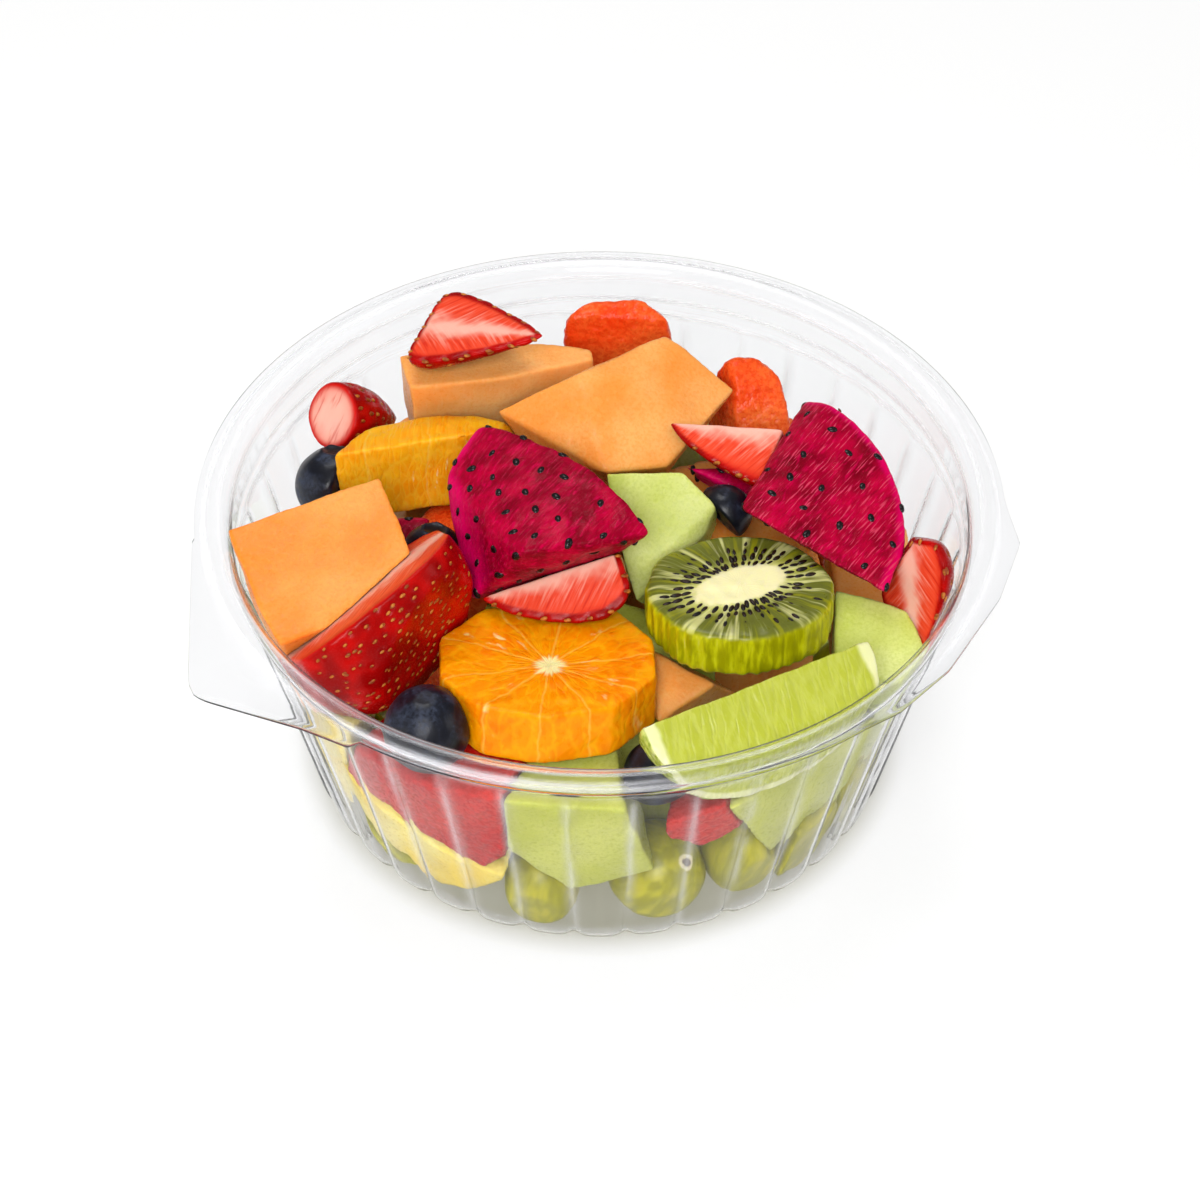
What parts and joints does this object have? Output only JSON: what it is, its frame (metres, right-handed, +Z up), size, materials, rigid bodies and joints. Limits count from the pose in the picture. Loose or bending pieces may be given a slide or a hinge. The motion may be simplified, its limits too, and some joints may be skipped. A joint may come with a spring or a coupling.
{
  "type": "fruit salad",
  "caption": "Cut fruit salad heaped in its clear fluted plastic bowl: melon, strawberry, orange, kiwi, dragonfruit, lime, grapes and blueberries.",
  "frame": {"origin": "middle of the underside of the bowl's foot", "axes": "+Z up, -Y towards the side that the picture shows, +X to the right as seen in it"},
  "size_m": [0.178, 0.176, 0.0907],
  "materials": {
    "clear_plastic": "clear, glossy, thin moulded sheet",
    "cantaloupe": "moist cut melon flesh, pale orange, faint grain",
    "strawberry": "glossy red skin with pale gold seeds, pale pink cut face",
    "watermelon": "moist cut flesh, orange red, open grain",
    "blueberry": "dark blue skin with a soft dusty bloom",
    "orange": "wet cut segments with pale walls",
    "dragonfruit": "wet crimson flesh with black seeds",
    "honeydew": "moist cut melon flesh, pale green",
    "kiwi": "wet green flesh with a pale core and a ring of black seeds",
    "lime": "wet pale green pulp with a cream edge and a green rind",
    "grape": "smooth olive green skin",
    "yellow_melon": "moist cut melon flesh, pale yellow"
  },
  "bodies": {
    "root": {"blueberry_back_left": "blueberry", "blueberry_back_right": "blueberry", "blueberry_front": "blueberry", "blueberry_front_right": "blueberry", "blueberry_middle": "blueberry", "bowl": "clear_plastic", "cantaloupe_back": "cantaloupe", "cantaloupe_centre": "cantaloupe", "cantaloupe_core_back": "cantaloupe", "cantaloupe_core_right": "cantaloupe", "cantaloupe_front": "cantaloupe", "cantaloupe_left": "cantaloupe", "cantaloupe_low_back": "cantaloupe", "cantaloupe_low_left": "cantaloupe", "cantaloupe_middle_back": "cantaloupe", "cantaloupe_middle_right": "cantaloupe", "dragonfruit_left": "dragonfruit", "dragonfruit_right": "dragonfruit", "dragonfruit_small_left": "dragonfruit", "dragonfruit_small_right": "dragonfruit", "grape_far_right": "grape", "grape_front": "grape", "grape_front_left": "grape", "grape_front_right": "grape", "grape_left": "grape", "grape_low_back_left": "grape", "grape_low_back_right": "grape", "grape_low_left": "grape", "grape_low_right": "grape", "grape_lower_left": "grape", "grape_right": "grape", "honeydew_centre": "honeydew", "honeydew_core_front": "honeydew", "honeydew_front": "honeydew", "honeydew_front_right": "honeydew", "honeydew_low_back": "honeydew", "honeydew_low_right": "honeydew", "honeydew_middle_back": "honeydew", "honeydew_middle_left": "honeydew", "honeydew_right": "honeydew", "kiwi_slice": "kiwi", "lime_wedge": "lime", "orange_back_left": "orange", "orange_front": "orange", "strawberry_back": "strawberry", "strawberry_back_right": "strawberry", "strawberry_centre": "strawberry", "strawberry_front": "strawberry", "strawberry_middle_back": "strawberry", "strawberry_right": "strawberry", "strawberry_small_left": "strawberry", "watermelon_back": "watermelon", "watermelon_back_right": "watermelon", "watermelon_core_left": "watermelon", "watermelon_front_left": "watermelon", "watermelon_front_right": "watermelon", "watermelon_low_back_left": "watermelon", "watermelon_middle_back": "watermelon", "yellow_melon_front": "yellow_melon", "yellow_melon_left": "yellow_melon"}
  },
  "joints": []
}
